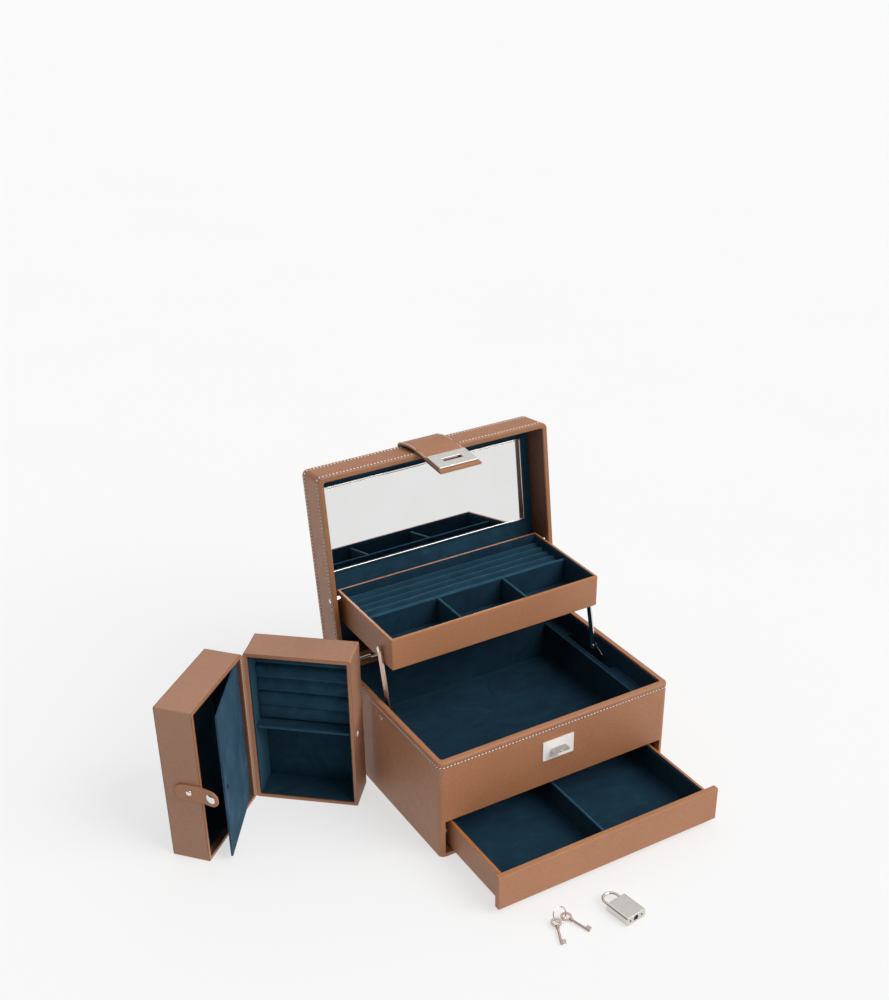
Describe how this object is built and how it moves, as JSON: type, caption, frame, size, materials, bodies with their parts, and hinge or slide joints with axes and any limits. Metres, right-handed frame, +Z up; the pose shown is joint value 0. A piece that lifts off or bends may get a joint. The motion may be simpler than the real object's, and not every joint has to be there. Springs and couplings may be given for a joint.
{
  "type": "leather jewellery case",
  "caption": "Lidded leather jewellery case with a mirror, a tray that lifts with the lid, a drawer, a slotted clasp, a folding travel case, a padlock and keys.",
  "frame": {"origin": "centre of the main case's underside", "axes": "+X to the right, +Y to the rear hinge, +Z up"},
  "size_m": [0.4726, 0.4257, 0.3074],
  "materials": {
    "tan_leather": "fine grain, satin",
    "edge_leather": "satin cut edge",
    "navy_suede": "short nap",
    "polished_nickel": "polished",
    "mirror_glass": "silvered"
  },
  "bodies": {
    "case": {"base_walls": "tan_leather", "base_bottom": "tan_leather", "compartment_board": "edge_leather", "base_lining": "navy_suede", "ledge_left": "navy_suede", "ledge_right": "navy_suede", "hinge_base_leaf": "polished_nickel", "hinge_pin": "polished_nickel", "arm_brackets": "polished_nickel", "arm_rivets": "polished_nickel", "staple_plate": "polished_nickel", "staple_screws": "polished_nickel", "drawer_stop_screws": "polished_nickel"},
    "lid": {"lid_shell": "tan_leather", "lid_lining": "navy_suede", "mirror": "mirror_glass", "mirror_trim": "polished_nickel", "hinge_lid_leaf": "polished_nickel", "lid_pivots": "polished_nickel", "strap_root": "tan_leather"},
    "strap_flexing": {"strap_knuckle": "tan_leather"},
    "hasp": {"strap_tail": "tan_leather", "slotted_plate": "polished_nickel", "plate_screws": "polished_nickel"},
    "tray": {"tray_box": "tan_leather", "tray_lining": "navy_suede", "tray_cross_divider": "navy_suede", "tray_dividers": "navy_suede", "tray_ring_rolls": "navy_suede", "tray_pins": "polished_nickel"},
    "arm_left": {"arm_left": "polished_nickel"},
    "arm_right": {"arm_right": "polished_nickel"},
    "drawer": {"drawer_front": "tan_leather", "drawer_box": "tan_leather", "drawer_lining": "navy_suede", "drawer_divider": "navy_suede", "drawer_pegs": "edge_leather"},
    "travel_body": {"travel_body": "tan_leather", "travel_body_lining": "navy_suede", "travel_ring_rolls": "navy_suede", "travel_shelf": "navy_suede", "travel_stud": "polished_nickel", "travel_spine": "tan_leather"},
    "travel_cover": {"travel_cover": "tan_leather", "travel_cover_lining": "navy_suede", "tab_anchor": "tan_leather"},
    "flap": {"travel_flap": "navy_suede", "flap_pull": "navy_suede"},
    "snap_tab": {"snap_tab": "tan_leather", "snap_cap": "polished_nickel"},
    "padlock": {"lock_body": "polished_nickel", "lock_plug": "polished_nickel", "lock_pins": "polished_nickel"},
    "shackle": {"lock_shackle": "polished_nickel"},
    "key_ring": {"key_ring": "polished_nickel"},
    "key_one": {"key_one": "polished_nickel"},
    "key_two": {"key_two": "polished_nickel"}
  },
  "joints": [
    {"name": "lid_hinge", "type": "hinge", "parent": "case", "child": "lid", "pos_m": [0, 0.0987, 0.10935], "axis": [1, 0, 0], "range_deg": [0, 97.5]},
    {"name": "tray_level", "type": "hinge", "parent": "lid", "child": "tray", "pos_m": [0, 0.11457, 0.17544], "axis": [1, 0, 0], "range_deg": [-97.5, 0]},
    {"name": "arm_left_swing", "type": "hinge", "parent": "case", "child": "arm_left", "pos_m": [-0.1204, 0.015, 0.095], "axis": [1, 0, 0], "range_deg": [0, 97.5]},
    {"name": "arm_right_swing", "type": "hinge", "parent": "case", "child": "arm_right", "pos_m": [0.1204, 0.015, 0.095], "axis": [1, 0, 0], "range_deg": [0, 97.5]},
    {"name": "strap_flex", "type": "hinge", "parent": "lid", "child": "strap_flexing", "pos_m": [0, 0.12659, 0.30549], "axis": [1, 0, 0], "range_deg": [-34, 0]},
    {"name": "hasp_press", "type": "hinge", "parent": "strap_flexing", "child": "hasp", "pos_m": [0, 0.12659, 0.30549], "axis": [1, 0, 0], "range_deg": [-45, 21.8]},
    {"name": "drawer_slide", "type": "slide", "parent": "case", "child": "drawer", "axis": [0, -1, 0], "range_m": [-0.0918, 0.028]},
    {"name": "travel_lift", "type": "slide", "parent": "case", "child": "travel_body", "axis": [0, 0, 1], "range_m": [0, 0.15]},
    {"name": "travel_hinge", "type": "hinge", "parent": "travel_body", "child": "travel_cover", "pos_m": [-0.23918, 0.08112, 0.0841], "axis": [0, 0, 1], "range_deg": [-80, 98.1]},
    {"name": "flap_hinge", "type": "hinge", "parent": "travel_cover", "child": "flap", "pos_m": [-0.24623, 0.08048, 0.0841], "axis": [0, 0, 1], "range_deg": [-14.5, 11.9]},
    {"name": "snap_tab_bend", "type": "hinge", "parent": "travel_cover", "child": "snap_tab", "pos_m": [-0.31748, 0.01161, 0.08], "axis": [0, 0, 1], "range_deg": [-20, 11], "stiffness_Nm_per_rad": 0.05},
    {"name": "padlock_lift", "type": "slide", "parent": "case", "child": "padlock", "axis": [0, 0, 1], "range_m": [0, 0.15]},
    {"name": "shackle_slide", "type": "slide", "parent": "padlock", "child": "shackle", "axis": [-0.1392, 0.9903, 0], "range_m": [0, 0.006]},
    {"name": "ring_lift", "type": "slide", "parent": "case", "child": "key_ring", "axis": [0, 0, 1], "range_m": [0, 0.15]},
    {"name": "key_one_swing", "type": "hinge", "parent": "key_ring", "child": "key_one", "pos_m": [-0.08729, -0.22605, 0.0026], "axis": [-0.0201, -0.0464, 0.9987], "range_deg": [-40, 12]},
    {"name": "key_two_swing", "type": "hinge", "parent": "key_ring", "child": "key_two", "pos_m": [-0.07551, -0.22435, 0.0026], "axis": [0.0158, -0.0481, 0.9987], "range_deg": [-12, 40]}
  ],
  "couplings": [
    {"joint": "tray_level", "follows": "lid_hinge", "ratio": -1},
    {"joint": "arm_left_swing", "follows": "lid_hinge", "ratio": 1},
    {"joint": "arm_right_swing", "follows": "lid_hinge", "ratio": 1},
    {"joint": "strap_flex", "follows": "lid_hinge", "ratio": -0.34872},
    {"joint": "flap_hinge", "follows": "travel_hinge", "ratio": -0.14781}
  ]
}
